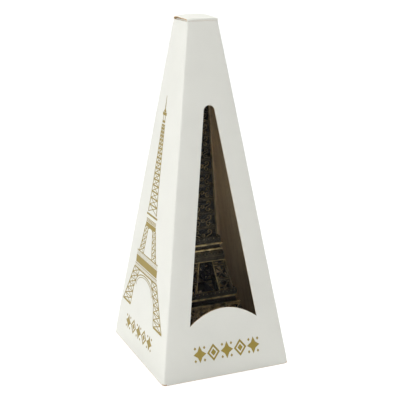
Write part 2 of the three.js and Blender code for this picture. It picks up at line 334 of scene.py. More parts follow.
def pierced(shell, outline, holes, place, thickness, chamfer, flat=0.35, rim=1.0, wall=0.1):
    """A plate with openings, chamfered all round on both faces. place(u, v, depth) gives the
    point; the outline and the holes are convex and anticlockwise."""
    rings = []
    for k, loop in enumerate([outline, *holes]):
        turn = -1 if k else 1
        near = inset(loop, turn * chamfer)
        levels = [(near, 0), (loop, chamfer), (loop, thickness - chamfer), (near, thickness)]
        ids = [shell.add(place(p[0], p[1], depth) for p in points) for points, depth in levels]
        for a, b, wear in zip(ids, ids[1:], (rim, wall, wall)):
            pair = (a, b) if k else (b, a)
            shell.bridge(*pair, wear)
        rings.append((near, ids))
    flat_points = [[Vector((p[0], p[1], 0)) for p in near] for near, _ in rings]
    for level, flip, wear in ((0, False, flat), (3, True, wall)):
        ids = [i for _, ring in rings for i in ring[level]]
        for tri in tessellate_polygon(flat_points):
            p, q, r = (sum(flat_points, [])[i] for i in tri)
            up = (q - p).cross(r - p).z > 0
            tri = tri if up != flip else tri[::-1]
            shell.face([ids[i] for i in tri], wear)


def triangle_inset(a, b, c, distance):
    """A triangle, made anticlockwise, with its sides moved in by distance."""
    if (b - a).cross(c - a) < 0:
        b, c = c, b
    return inset([a, b, c], distance)


def braced(corners, rail, strut):
    """The triangular openings of a bay with crossed struts; corners are anticlockwise."""
    a, b, c, d = inset(corners, rail)
    ac, bd = c - a, d - b
    o = a + ac * ((b - a).cross(bd) / ac.cross(bd))
    return [triangle_inset(p, q, o, strut / 2) for p, q in ((a, b), (b, c), (c, d), (d, a))]


def bay(shell, a, b, c, d, outward, rail=0.8, strut=0.6, thickness=0.8, chamfer=0.2, **wears):
    """One braced bay of an openwork face, from its four corners in space, anticlockwise as
    seen from outside."""
    a, b, c, d = (Vector(p) for p in (a, b, c, d))
    u = (b - a).normalized()
    normal = u.cross((d - a).normalized()).normalized()
    if normal.dot(Vector(outward)) < 0:
        a, b, c, d = b, a, d, c
        u, normal = -u, -normal
    v = normal.cross(u)
    corners = [Vector(((p - a).dot(u), (p - a).dot(v))) for p in (a, b, c, d)]
    place = lambda x, y, depth: a + u * x + v * y - normal * depth
    pierced(shell, corners, braced(corners, rail, strut), place, thickness, chamfer, **wears)


def strip(shell, path, normal, width, height, chamfer=0.1, wear=1.0, sunk=0.1):
    """A flat bar along a path of points, standing on a surface whose normal is given."""
    path = [Vector(p) for p in path]
    normal = Vector(normal).normalized()
    loops = []
    for i, p in enumerate(path):
        ahead = path[min(i + 1, len(path) - 1)] - path[max(i - 1, 0)]
        side = normal.cross(ahead.normalized())
        half = width / 2
        cut = min(chamfer, half * 0.8, height * 0.8)
        outline = [(-half, -sunk), (-half, height - cut), (-half + cut, height),
                   (half - cut, height), (half, height - cut), (half, -sunk)]
        loops.append([p + side * s + normal * h for s, h in outline])
    ids = [shell.add(loop) for loop in loops]
    for a, b in zip(ids, ids[1:]):
        for i in range(6):
            j = (i + 1) % 6
            shell.face((a[j], a[i], b[i], b[j]), wear if i != 5 else 0)
    shell.face(ids[0], wear)
    shell.face(reversed(ids[-1]), wear)


def square_rings(shell, rings, hole=0.0, centre=(0, 0)):
    """A stack of square rings, each (half width, height, wear of the band above it)."""
    cx, cy = centre
    quarters = ((-1, -1), (1, -1), (1, 1), (-1, 1))
    ring = lambda half, z: [(cx + sx * half, cy + sy * half, z) for sx, sy in quarters]
    loops = [ring(half, z) for half, z, _ in rings]
    if not hole:
        shell.loft(loops, [w for _, _, w in rings[:-1]])
        return
    ids = [shell.add(loop) for loop in loops]
    for k, (a, b) in enumerate(zip(ids, ids[1:])):
        shell.bridge(a, b, rings[k][2])
    low = shell.add(ring(hole, rings[0][1]))
    high = shell.add(ring(hole, rings[-1][1]))
    shell.bridge(ids[-1], high, rings[-1][2])
    shell.bridge(high, low, 0.1)
    shell.bridge(low, ids[0], 0.1)


def turned(shell, profile, sides, wear=0.5):
    """A turned shape about the tower's axis from (radius, height) rows."""
    loops = [[(r * math.cos(math.tau * k / sides), r * math.sin(math.tau * k / sides), z)
              for k in range(sides)] for r, z in profile]
    shell.loft(loops, [wear] * (len(loops) - 1))


# ---- Carton sleeve ----

# Each side's outward direction and the direction across it, as seen from outside.
SIDES = {
    "front": (Vector((0, -1, 0)), Vector((1, 0, 0))),
    "right": (Vector((1, 0, 0)), Vector((0, 1, 0))),
    "back": (Vector((0, 1, 0)), Vector((-1, 0, 0))),
    "left": (Vector((-1, 0, 0)), Vector((0, -1, 0))),
}


def halves(side, z):
    """(distance out, half width across) of a side's outer face at a height."""
    x, y = lerp(BASE_X, TOP_X, z / HEIGHT), lerp(BASE_Y, TOP_Y, z / HEIGHT)
    return (y, x) if side in ("front", "back") else (x, y)


def on_panel(side, across, z, lift=0.0):
    """A point on a side's outer face, which bows out a little in its middle."""
    out, half = halves(side, z)
    normal, along = SIDES[side]
    share = min(abs(across) / max(half - CREASE_RADIUS, 0.1), 1)
    bow = BOW * (1 - share ** 2) * math.sin(math.pi * clamp(z / WALL_TOP))
    return normal * (out + bow + lift) + along * across + Vector((0, 0, z))


def sleeve_loop(z, lift):
    """One turn round the sleeve at a height, with rounded corners that are blunter low down."""
    points = []
    names = list(SIDES)
    radius = CREASE_RADIUS + 1.3 * max(0, 1 - z / 5) ** 2
    for k, side in enumerate(names):
        out, half = halves(side, z)
        reach = half - radius
        steps = 12
        points += [on_panel(side, lerp(-reach, reach, i / steps), z, lift)
                   for i in range(steps + 1)]
        normal, along = SIDES[side]
        centre = normal * (out - radius) + along * reach + Vector((0, 0, z))
        for i in range(1, 6):
            angle = math.radians(90 * i / 6)
            outward = normal * math.cos(angle) + along * math.sin(angle)
            points.append(centre + outward * (radius + lift))
    return points


def window_outline():
    """The window's outline in X and Z, anticlockwise from its lower left point."""
    points = []
    for i in range(25):
        x = lerp(-WINDOW_BOTTOM_HALF, WINDOW_BOTTOM_HALF, i / 24)
        points.append((x, WINDOW_BOTTOM + WINDOW_RISE * (1 - (x / WINDOW_BOTTOM_HALF) ** 2)))
    for i in range(17):
        angle = math.pi * i / 16
        points.append((WINDOW_SHOULDER_HALF * math.cos(angle),
                       WINDOW_SHOULDER + (WINDOW_TOP - WINDOW_SHOULDER) * math.sin(angle)))
    return points


def cut_through(piece, cutter_loops):
    """Takes a prism, given as its two end loops, out of a piece."""
    cutter = Shell()
    cutter.loft(cutter_loops)
    mesh = bpy.data.meshes.new("cutter")
    mesh.from_pydata([p * MM for p in cutter.points], [], [f for f, _, _ in cutter.faces])
    tool = make_object("cutter", mesh)
    for look in BOARD_LOOK:
        mesh.materials.append(look)
    for polygon in mesh.polygons:
        polygon.material_index = CUT
    boolean = piece.modifiers.new("window", "BOOLEAN")
    boolean.operation = "DIFFERENCE"
    boolean.solver = "EXACT"
    boolean.object = tool
    bpy.context.view_layer.update()
    evaluated = piece.evaluated_get(bpy.context.evaluated_depsgraph_get())
    result = bpy.data.meshes.new_from_object(evaluated)
    piece.modifiers.clear()
    result.name = piece.data.name
    piece.data = result
    bpy.data.objects.remove(tool)


def make_sleeve():
    """The four panels as one folded skin, with the window cut through the front one."""
    shell = Shell()
    heights = [0.03, 0.2, 0.7, 1.5, 3.0] + [lerp(5, WALL_TOP, k / 40) for k in range(41)]
    outer = [shell.add(sleeve_loop(z, 0)) for z in heights]
    inner = [shell.add(sleeve_loop(z, -BOARD)) for z in heights]
    n = len(outer[0])
    for level, (a, b) in enumerate(zip(outer, outer[1:])):
        for i in range(n):
            j = (i + 1) % n
            worn = level == 0 or level == 1 and i % 18 > 12
            shell.face((a[i], a[j], b[j], b[i]), look=CUT if worn else COATED)
    for a, b in zip(inner, inner[1:]):
        shell.bridge(b, a, look=INSIDE)
    shell.bridge(outer[-1], inner[-1], look=CUT)
    shell.bridge(inner[0], outer[0], look=CUT)
    sleeve = shell.build("carton_sleeve", "carton", BOARD_LOOK, smooth=35)
    outline = window_outline()
    cut_through(sleeve, [[(x, -8, z) for x, z in outline], [(x, -60, z) for x, z in outline]])
    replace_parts(sleeve, "front_window_panel", "left_panel", "right_panel", "back_panel")


# ---- Foil print ----

FOIL_LIFT = 0.02
FOIL_THICK = 0.03


def foil_polygon(shell, side, points):
    """A flat foil shape from its outline (across, height), cut up so that it follows the
    bow of the panel."""
    sheet = bmesh.new()
    sheet.faces.new([sheet.verts.new((x, z, 0)) for x, z in points])
    for axis, pitch in ((0, 2.5), (1, 6.0)):
        values = [p[axis] for p in points]
        normal = Vector((1, 0, 0) if axis == 0 else (0, 1, 0))
        for k in range(math.ceil(min(values) / pitch), math.floor(max(values) / pitch) + 1):
            bmesh.ops.bisect_plane(sheet, geom=sheet.verts[:] + sheet.edges[:] + sheet.faces[:],
                                   dist=1e-5, plane_co=normal * (k * pitch), plane_no=normal)
    bmesh.ops.triangulate(sheet, faces=sheet.faces)
    for face in sheet.faces:
        if face.normal.z < 0:
            face.normal_flip()
    sheet.verts.index_update()
    low = shell.add(on_panel(side, v.co.x, v.co.y, FOIL_LIFT) for v in sheet.verts)
    high = shell.add(on_panel(side, v.co.x, v.co.y, FOIL_LIFT + FOIL_THICK) for v in sheet.verts)
    for face in sheet.faces:
        ids = [v.index for v in face.verts]
        shell.face([high[i] for i in ids])
        shell.face([low[i] for i in reversed(ids)])
        for loop in face.loops:
            if loop.edge.is_boundary:
                a, b = loop.vert.index, loop.link_loop_next.vert.index
                shell.face((low[a], low[b], high[b], high[a]))
    sheet.free()


def foil_line(shell, side, path, width, end_width=None):
    """A foil line of a given width along a path of (across, height)."""
    path = [Vector(p) for p in path]
    left, right = [], []
    for i, p in enumerate(path):
        way = (path[min(i + 1, len(path) - 1)] - path[max(i - 1, 0)]).normalized()
        half = 0.56 * lerp(width, width if end_width is None else end_width, i / (len(path) - 1))
        left.append(p + Vector((-way.y, way.x)) * half)
        right.append(p - Vector((-way.y, way.x)) * half)
    foil_polygon(shell, side, [tuple(p) for p in left + right[::-1]])


PRINT_OUTER = [(24.5, 31.2), (36.2, 24.3), (47.8, 17.9)]
PRINT_INNER = [(24.5, 18.8), (36.2, 16.2), (44.6, 11.4), (47.8, 9.6)]
PRINT_MIDDLE_OUTER = [(58.4, 13.2), (66, 10.4), (74.6, 8.0)]
PRINT_MIDDLE_INNER = [(58.4, 6.6), (66, 5.0), (74.6, 3.4)]
# Rows of upright ticks: how many, half width, low end, middle, high end and line width.
PRINT_TICKS = [(24, 16.6, 47.9, 49, 50.2, 0.28), (28, 15.6, 55.2, 57, 58.2, 0.2)]
PRINT_SHAFT = [(83.2, 6.4), (94, 4.9), (117, 3.0), (134, 1.8)]
# Shapes above the shaft: low end, high end, and the half width at each.
PRINT_HEAD = [(134, 135.3, 1.9, 1.9), (138.1, 139.7, 2.7, 2.7), (139.9, 141.5, 1.9, 0.7),
              (141.4, 148.8, 0.55, 0.18)]


def print_leg(line, centre, outer, inner, low, high, bays, width):
    """Two mirrored legs drawn as edge lines with crossed and level lines between them."""
    for sign in (-1, 1):
        at = lambda rows, z: (centre(z) + sign * table(rows, z), z)
        levels = [lerp(low, high, k / bays) for k in range(bays + 1)]
        for rows, weight in ((outer, 1.2), (inner, 1.0)):
            line([at(rows, z) for z in levels], width * weight)
        for z0, z1 in zip(levels, levels[1:]):
            line([at(outer, z0), at(inner, z1)], width * 0.8)
            line([at(inner, z0), at(outer, z1)], width * 0.8)
            line([at(outer, z1), at(inner, z1)], width * 0.7)


def printed_tower(side, name, centre):
    """A drawing of a lattice tower in foil."""
    shell = Shell()
    line = lambda path, *widths: foil_line(shell, side, path, *widths)
    shape = lambda rows: foil_polygon(shell, side, [(centre(z) + x, z) for x, z in rows])
    level = lambda z, half, width: line([(centre(z) - half, z), (centre(z) + half, z)], width)
    print_leg(line, centre, PRINT_OUTER, PRINT_INNER, 24.6, 47.8, 6, 0.62)
    for sign in (-1, 1):
        ends = [(centre(24.5) + sign * table(rows, 24.5), 24.5)
                for rows in (PRINT_OUTER, PRINT_INNER)]
        ends[0] = (ends[0][0] + sign * 0.4, 24.5)
        line(ends, 1.1)
    for drop, width in ((0, 0.55), (1.2, 0.35)):
        arch = []
        for i in range(21):
            angle = math.pi * i / 20
            arch.append((centre(44) - (13.6 - drop) * math.cos(angle),
                         39.6 - drop + 7.0 * math.sin(angle)))
        line(arch, width)
    level(47.9, 17.6, 0.7)
    level(50.2, 17.2, 0.35)
    shape([(-16.4, 51.0), (16.4, 51.0), (16.4, 55.2), (-16.4, 55.2)])
    level(58.2, 16.2, 0.5)
    for count, reach, low, middle, high, width in PRINT_TICKS:
        for i in range(count):
            x = centre(middle) + lerp(-reach, reach, i / (count - 1))
            line([(x, low), (x, high)], width)
    print_leg(line, centre, PRINT_MIDDLE_OUTER, PRINT_MIDDLE_INNER, 58.4, 74.6, 5, 0.55)
    head = [(centre(74) - 3.6 * math.cos(math.pi * i / 12), 72.9 + 1.7 * math.sin(math.pi * i / 12))
            for i in range(13)]
    line(head, 0.5)
    shape([(-7.9, 74.4), (7.9, 74.4), (7.5, 76.9), (-7.5, 76.9)])
    for k in range(3):
        level(77.5 + 0.75 * k, 7.3, 0.38)
    level(81.7, 8.1, 1.0)
    z, gap, shaft_z = 83.2, 4.2, [83.2]
    while z + gap < 134:
        z += gap
        gap *= 0.952
        shaft_z.append(z)
    side_line = lambda sign: [(centre(z) + sign * table(PRINT_SHAFT, z), z) for z in shaft_z]
    for sign in (-1, 1):
        line(side_line(sign), 0.75, 0.6)
    for z0, z1 in zip(shaft_z, shaft_z[1:]):
        wide, narrow = table(PRINT_SHAFT, z0), table(PRINT_SHAFT, z1)
        for sign in (-1, 1):
            line([(centre(z0) + sign * wide, z0), (centre(z1) - sign * narrow, z1)], 0.4)
        level(z1, narrow + 0.4, 0.7)
    for low, high, half, top in PRINT_HEAD:
        shape([(-half, low), (half, low), (top, high), (-top, high)])
    for sign in (-1, 1):
        line([(centre(136) + sign * 1.3, 135.2), (centre(136) + sign * 1.5, 138.2)], 0.5)
    shell.build(name, "carton", [FOIL])


def star(cx, cz, half_x, half_z, points, waist):
    """A star outline with the given number of points."""
    outline = []
    for k in range(2 * points):
        angle = math.pi / 2 + math.pi * k / points
        size = 1 if k % 2 == 0 else waist
        outline.append((cx + half_x * size * math.cos(angle), cz + half_z * size * math.sin(angle)))
    return outline


def ornament_row(side, name, centre, width, low, high):
    """A row of five plain foil ornaments: pointed stars between framed diamonds."""
    shell = Shell()
    shape = lambda points: foil_polygon(shell, side, points)
    pitch, middle, tall = width / 5, (low + high) / 2, (high - low) / 2
    wide = pitch * 0.47
    for k in range(5):
        x = centre + (k - 2) * pitch
        if k % 2 == 0:
            shape(star(x, middle, wide, tall, 4, 0.5))
            for sx in (-1, 1):
                for sz in (-1, 1):
                    spot = (x + sx * wide * 0.72, middle + sz * tall * 0.72)
                    shape(star(*spot, wide * 0.2, tall * 0.2, 4, 0.7))
        else:
            diamond = [(x, middle - tall), (x + wide, middle),
                       (x, middle + tall), (x - wide, middle)]
            for a, b in zip(diamond, diamond[1:] + diamond[:1]):
                inner = [(lerp(x, px, 0.66), lerp(middle, pz, 0.66)) for px, pz in (b, a)]
                shape([a, b, *inner])
            shape(star(x, middle, wide * 0.42, tall * 0.42, 4, 0.7))
    shell.build(name, "carton", [FOIL])


# ---- Flaps ----

def board_flap(name, node, body, outline, place):
    """A flap of board from its outline. place(u, v, depth) gives the point, with depth 0 on
    the coated face."""
    shell = Shell()
    flat = [Vector((x, y, 0)) for x, y in outline]
    near = shell.add(place(p.x, p.y, 0) for p in flat)
    far = shell.add(place(p.x, p.y, BOARD) for p in flat)
    shell.bridge(far, near, look=CUT)
    for tri in tessellate_polygon([flat]):
        p, q, r = (flat[i] for i in tri)
        if (q - p).cross(r - p).z < 0:
            tri = tri[::-1]
        shell.face([near[i] for i in tri], look=COATED)
        shell.face([far[i] for i in reversed(tri)], look=INSIDE)
    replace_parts(shell.build(name, body, BOARD_LOOK, smooth=35), node)


def rounded(points, radius, steps=5):
    """An outline with each corner that has a radius rounded off."""
    out, n = [], len(points)
    for i, p in enumerate(points):
        r = radius[i]
        a, b, c = Vector(points[i - 1]), Vector(p), Vector(points[(i + 1) % n])
        if not r:
            out.append(tuple(b))
            continue
        start, end = b + (a - b).normalized() * r, b + (c - b).normalized() * r
        for k in range(steps + 1):
            t = k / steps
            out.append(tuple(start * (1 - t) ** 2 + b * 2 * t * (1 - t) + end * t ** 2))
    return out


def sheet_flap(name, node, body, columns, rows, place, folded):
    """A flap of board as a curved sheet. place(u, v, depth) gives the point, for u and v from
    0 to 1 with depth 0 on the coated face; u x v points out of it. The edges whose v is in
    folded are creases, where the coating carries on round."""
    shell = Shell()
    near, far = ([[shell.add([place(i / columns, j / rows, depth)])[0] for j in range(rows + 1)]
                  for i in range(columns + 1)] for depth in (0, BOARD))
    for i in range(columns):
        for j in range(rows):
            quad = [(i, j), (i + 1, j), (i + 1, j + 1), (i, j + 1)]
            shell.face([near[a][b] for a, b in quad], look=COATED)
            shell.face([far[a][b] for a, b in reversed(quad)], look=INSIDE)
    rim = [(i, 0) for i in range(columns)] + [(columns, j) for j in range(rows)]
    rim += [(i, rows) for i in range(columns, 0, -1)] + [(0, j) for j in range(rows, 0, -1)]
    for (a, b), (c, d) in zip(rim, rim[1:] + rim[:1]):
        crease = b == d and b / rows in folded
        shell.face([far[a][b], far[c][d], near[c][d], near[a][b]], look=COATED if crease else CUT)
    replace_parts(shell.build(name, body, BOARD_LOOK, smooth=40), node)


# The top lid's coated face in Y and Z: up from the window panel round a soft crease, back
# over the mouth, and down round the fold where the tuck flap begins.
TOP_LID = [(-9.45, 189.3), (-9.37, 189.5), (-9.33, 189.75), (-9.26, 190.15), (-9.12, 190.48),
           (-8.9, 190.66), (-8.6, 190.6), (-8.3, 190.63), (-7, 190.67), (-4, 190.76), (0, 190.84),
           (4, 190.8), (6.5, 190.62), (7.9, 190.42), (8.6, 190.2), (8.93, 189.9), (8.98, 189.6),
           (8.98, 189.35)]
TOP_LID_HALF = 8.8

BOTTOM_LID_FRONT, BOTTOM_LID_BACK, BOTTOM_LID_HALF = -39.7, 40.1, 37

# A top dust flap's coated face, as distance out from the middle and height.
TOP_DUST = [(8.42, 189.26), (8.4, 189.6), (8.3, 189.78), (8.0, 189.84), (7.2, 189.62),
            (6.0, 189.34), (4.0, 189.14), (2.4, 189.09), (0.8, 189.08)]


def offset(path, v, depth):
    """The point of a path at v from 0 to 1, moved to the right of its direction by depth."""
    k = round(v * (len(path) - 1))
    a, b = Vector(path[max(k - 1, 0)]), Vector(path[min(k + 1, len(path) - 1)])
    along = (b - a).normalized()
    return Vector(path[k]) + Vector((along.y, -along.x)) * depth


def make_lids():
    """The top lid, the bottom lid and the two top dust flaps."""
    def top(u, v, depth):
        y, z = offset(TOP_LID, v, depth)
        crown = (1 - abs(2 * u - 1) ** 3) * clamp((y + 8.6) / 14) * clamp((1 - v) * 6)
        droop = abs(2 * u - 1) ** 5 * (0.26 - 0.5 * clamp((y + 2) / 8)) * clamp((1 - v) * 5)
        return Vector((lerp(-TOP_LID_HALF, TOP_LID_HALF, u), y, z + crown - droop * clamp(v * 5)))

    sheet_flap("top_lid_board", "top_lid", "top_lid", 14, len(TOP_LID) - 1, top, (0, 1))

    def bottom(u, v, depth):
        y = lerp(BOTTOM_LID_FRONT, BOTTOM_LID_BACK, (1 - v) ** 2.2)
        roll = 0.25 * max(0, 1 - (y - BOTTOM_LID_FRONT) / 0.6) ** 2
        return Vector((lerp(-BOTTOM_LID_HALF, BOTTOM_LID_HALF, u), y, depth + roll))

    sheet_flap("bottom_lid_board", "bottom_lid", "bottom_lid", 14, 60, bottom, (0, 1))

    for name, side in (("left", -1), ("right", 1)):
        def dust(u, v, depth):
            out, z = offset([(-r, z) for r, z in TOP_DUST], v, depth)
            hinge_end = lerp(-8.4, -2.0, clamp((7.2 + out) / 6.4))
            tip = 0.9 * max(0, 1 + out / 1.9)
            ends = (hinge_end, 6.2 - tip)
            return Vector((-side * out, lerp(*(ends if side > 0 else ends[::-1]), u), z))

        node = f"top_dust_flap_{name}"
        sheet_flap(f"top_dust_board_{name}", node, node, 8, len(TOP_DUST) - 1, dust, (0,))


def make_flaps():
    """The top tuck flap, the bottom tuck flap and the two bottom dust flaps."""
    lean = math.radians(14)
    up = Vector((0, math.sin(lean), math.cos(lean)))
    inward = Vector((0, -math.cos(lean), math.sin(lean)))
    root = Vector((0, 8.9, 189.0))
    outline = rounded([(-8.0, 0), (-7.5, -7), (7.5, -7), (8.0, 0)], (0, 2.5, 2.5, 0))
    board_flap("top_tuck_board", "top_tuck_flap", "top_tuck_flap", outline,
               lambda x, y, depth: root + Vector((-x, 0, 0)) + up * y + inward * depth)

    slope = math.atan((BASE_Y - TOP_Y) / HEIGHT)
    up = Vector((0, math.sin(slope), math.cos(slope)))
    inner = Vector((0, math.cos(slope), -math.sin(slope)))
    base = Vector((0, -39.6, 0.8))
    outline = rounded([(-35.5, 0), (35.5, 0), (34, 12), (-34, 12)], (0, 0, 6, 6))
    board_flap("bottom_tuck_board", "bottom_tuck_flap", "bottom_tuck_flap", outline,
               lambda x, y, depth: base + Vector((x, 0, 0)) + up * y + inner * depth)

    for name, side in (("left", -1), ("right", 1)):
        outline = rounded([(side * 36.6, -37.4), (side * 6, -37.4), (side * 6, 11),
                           (side * 35.8, 38.6), (side * 36.6, 38.6)], (0, 5, 4, 0, 0))
        node = f"bottom_dust_flap_{name}"
        board_flap(f"bottom_dust_board_{name}", node, node, [(x, -y) for x, y in outline[::side]],
                   lambda x, y, depth: Vector((x, -y, 0.82 + depth)))


def make_glue_flap():
    """The strip glued inside the back panel."""
    def place(u, v, depth):
        z = 5 + v
        out, half = halves("back", z)
        return Vector((half - BOARD - 0.8 - u, out - BOARD - 0.25 - depth, z))

    outline = [(0.2, 0), (5, 0), (9, 9), (9, 171), (5, 180), (0.2, 180)]
    board_flap("glue_flap_board", "glue_flap", "carton", outline, place)


# ---- Cast tower ----

LOWER_OUTER = [(4.1, 33.0), (10.5, 28.5), (17.5, 24.5), (24, 21.0), (30.9, 18.0)]
LOWER_INNER = [(4.1, 19.8), (10.5, 16.9), (17.5, 14.2), (24, 11.7), (30.9, 9.3)]
MIDDLE_OUTER = [(36.6, 15.9), (42.5, 14.6), (48.6, 13.4), (55, 12.1), (61.6, 10.6)]
MIDDLE_INNER = [(36.6, 7.2), (42.5, 6.1), (48.6, 5.0), (55, 3.8), (61.6, 2.6)]
SHAFT = [(66.3, 8.9), (150, 5.0)]
PLINTH = [(7.5, 1.6, 0.2), (7.5, 2.6, 0.9), (7.2, 3.0, 0.3), (7.0, 4.2, 0.9), (6.7, 4.6, 0.4)]
PLINTH_CENTRE = 27.3
LEG_SKIN = 0.8
SKIN_END = LEG_SKIN + 0.1
BEAD_INSET = 0.45
WEB_DEPTHS = (0.45, 0.75)


def leg(name, node, quadrant, outer, inner, bays, plinth=False):
    """A hollow lattice leg in one quadrant, made of braced bays on its four faces."""
    sx, sy = quadrant
    shell = Shell()
    low, high = outer[0][0], outer[-1][0]
    levels = [lerp(low, high, k / bays) for k in range(bays + 1)]
    # The black is the casting's own patina, but leaving the inward faces (way -1) almost unrubbed
    # is painted shade for the shaded inside of the tower.
    wears = {1: dict(flat=0.06, rim=0.55, wall=0.03), -1: dict(flat=0.0, rim=0.03, wall=0.0)}
    for z0, z1 in zip(levels, levels[1:]):
        o0, o1 = table(outer, z0), table(outer, z1)
        i0, i1 = table(inner, z0), table(inner, z1)
        for f0, f1, way in ((o0, o1, 1), (i0, i1, -1)):
            bay(shell, (sx * i0, sy * f0, z0), (sx * o0, sy * f0, z0),
                (sx * o1, sy * f1, z1), (sx * i1, sy * f1, z1), (0, sy * way, 0), **wears[way])
            bay(shell, (sx * f0, sy * (i0 + SKIN_END), z0), (sx * f0, sy * (o0 - SKIN_END), z0),
                (sx * f1, sy * (o1 - SKIN_END), z1), (sx * f1, sy * (i1 + SKIN_END), z1),
                (sx * way, 0, 0), rail=0.55, **wears[way])
    for rows, step, wear in ((outer, -BEAD_INSET, 0.35), (inner, BEAD_INSET, 0.85)):
        path = [(sx * (table(rows, z) + step), sy * table(outer, z), z) for z in levels]
        strip(shell, path, (0, sy, 0.3), 0.32, 0.25, wear=wear)
        path = [(sx * table(outer, z), sy * (table(rows, z) + step), z) for z in levels]
        strip(shell, path, (sx, 0, 0.3), 0.32, 0.25, wear=wear)
    if plinth:
        square_rings(shell, PLINTH, centre=(sx * PLINTH_CENTRE, sy * PLINTH_CENTRE))
    shell.cast(name, node)


TURNS = {"front": 0, "right": 90, "back": 180, "left": 270}


def turned_side(side, point):
    """Turns a point made for the front (-Y) side round to another side."""
    return Matrix.Rotation(math.radians(TURNS[side]), 3, "Z") @ Vector(point)


def scroll(cx, cz, size, flip, turns=1.15, steps=26):
    """An S scroll: two spirals joined end to end."""
    points = []
    for k in range(-steps, steps + 1):
        t = abs(k) / steps
        angle = math.tau * turns * t * (1 - 0.15 * t)
        reach = size * 0.5
        radius = size * 0.42 * (1 - 0.78 * t)
        side = 1 if k >= 0 else -1
        x = flip * side * (math.sin(angle) * radius)
        z = side * (reach - math.cos(angle) * radius - (reach - size * 0.42))
        points.append((cx + x, cz + z))
    return points


def shaft_face(side):
    """One face of the upper shaft: braced bays over a dark web, with scrolls and rings on them."""
    shell = Shell()
    low, high = SHAFT[0][0], SHAFT[1][0]
    z, gap, levels = low, 8.6, [low]
    while z + gap < high - 2:
        z += gap
        gap *= 0.965
        levels.append(z)
    levels[-1] = high
    half = lambda z: table(SHAFT, z)
    turn = lambda p: turned_side(side, p)
    tilt = (SHAFT[0][1] - SHAFT[1][1]) / (high - low)
    normal = turn((0, -1, tilt))
    inset_ends = 0.0 if side in ("front", "back") else SKIN_END
    for z0, z1 in zip(levels, levels[1:]):
        w0, w1 = half(z0) - inset_ends, half(z1) - inset_ends
        corners = [turn(p) for p in ((-w0, -half(z0), z0), (w0, -half(z0), z0),
                                     (w1, -half(z1), z1), (-w1, -half(z1), z1))]
        front, back = ([Vector(p) - Vector(normal).normalized() * depth for p in corners]
                       for depth in WEB_DEPTHS)
        shell.loft([back, front])
        bay(shell, *corners, normal, rail=0.7, strut=0.45, thickness=LEG_SKIN, chamfer=0.15,
            flat=0.06, rim=0.3, wall=0.03)
    surface = lambda x, z: turn((x, -half(z), z))
    for z0, z1 in zip(levels, levels[1:]):
        middle, size = (z0 + z1) / 2, (z1 - z0) * 0.5
        reach = half(middle) * 0.42
        for sign in (-1, 1):
            path = [surface(x, z) for x, z in scroll(sign * reach, middle, size, sign)]
            strip(shell, path, normal, 0.32, 0.32, 0.1, 0.55)
        ring = [surface(0.9 * math.cos(a), middle + 0.9 * math.sin(a))
                for a in (math.tau * k / 14 for k in range(15))]
        strip(shell, ring, normal, 0.3, 0.35, 0.1, 0.45)
    for sign in (-1, 1):
        path = [surface(sign * (half(z) - inset_ends - BEAD_INSET), z) for z in (low, high)]
        strip(shell, path, normal, 0.4, 0.22, 0.12, 0.5)
    shell.cast(f"shaft_casting_{side}", f"shaft_face_{side}")


ARCH_FOOT, ARCH_FOOT_Y, ARCH_SLOPE = 6.0, -30.5, math.atan(0.55)


def arch(side):
    """The decorative arch between two lower legs: two ribs with spokes, hangers and a girder."""
    shell = Shell()
    up = Vector((0, math.sin(ARCH_SLOPE), math.cos(ARCH_SLOPE)))
    out = Vector((0, -math.cos(ARCH_SLOPE), math.sin(ARCH_SLOPE)))
    at = lambda x, v: turned_side(side, Vector((x, ARCH_FOOT_Y, ARCH_FOOT)) + up * v - out * 1.1)
    normal = turned_side(side, out)
    bar = lambda points, width: strip(shell, [at(*p) for p in points], normal, width,
                                      1.0, 0.18, 0.9, 0.0)
    polar = lambda r, a: (r * math.cos(a), r * math.sin(a))
    for radius, width in ((17.0, 0.8), (15.1, 0.6)):
        bar([polar(radius, math.pi * k / 36) for k in range(37)], width)
    for k in range(1, 36):
        angle = math.pi * k / 36
        bar([polar(15.3, angle), polar(16.8, angle + (0.06 if k % 2 else -0.06))], 0.35)
    for v, width in ((26.9, 0.9), (24.4, 0.5)):
        bar([(-9.0, v), (9.0, v)], width)
    for k in range(13):
        x = lerp(-8.6, 8.6, k / 12)
        bar([(x, math.sqrt(17.0 ** 2 - x * x)), (x, 24.4)], 0.4)
        if k < 12:
            step = 17.2 / 12
            bar([(x, 24.5), (x + step, 26.7)], 0.35)
            bar([(x + step, 24.5), (x, 26.7)], 0.35)
    shell.cast(f"arch_casting_{side}", f"arch_{side}")


def ledge(half, low, high):
    """Rings of a rounded ledge: half width, height and wear."""
    tall = high - low
    return [(half - 0.35, low, 1.0), (half, low + tall * 0.25, 1.0), (half, low + tall * 0.75, 1.0),
            (half - 0.3, high, 0.8)]


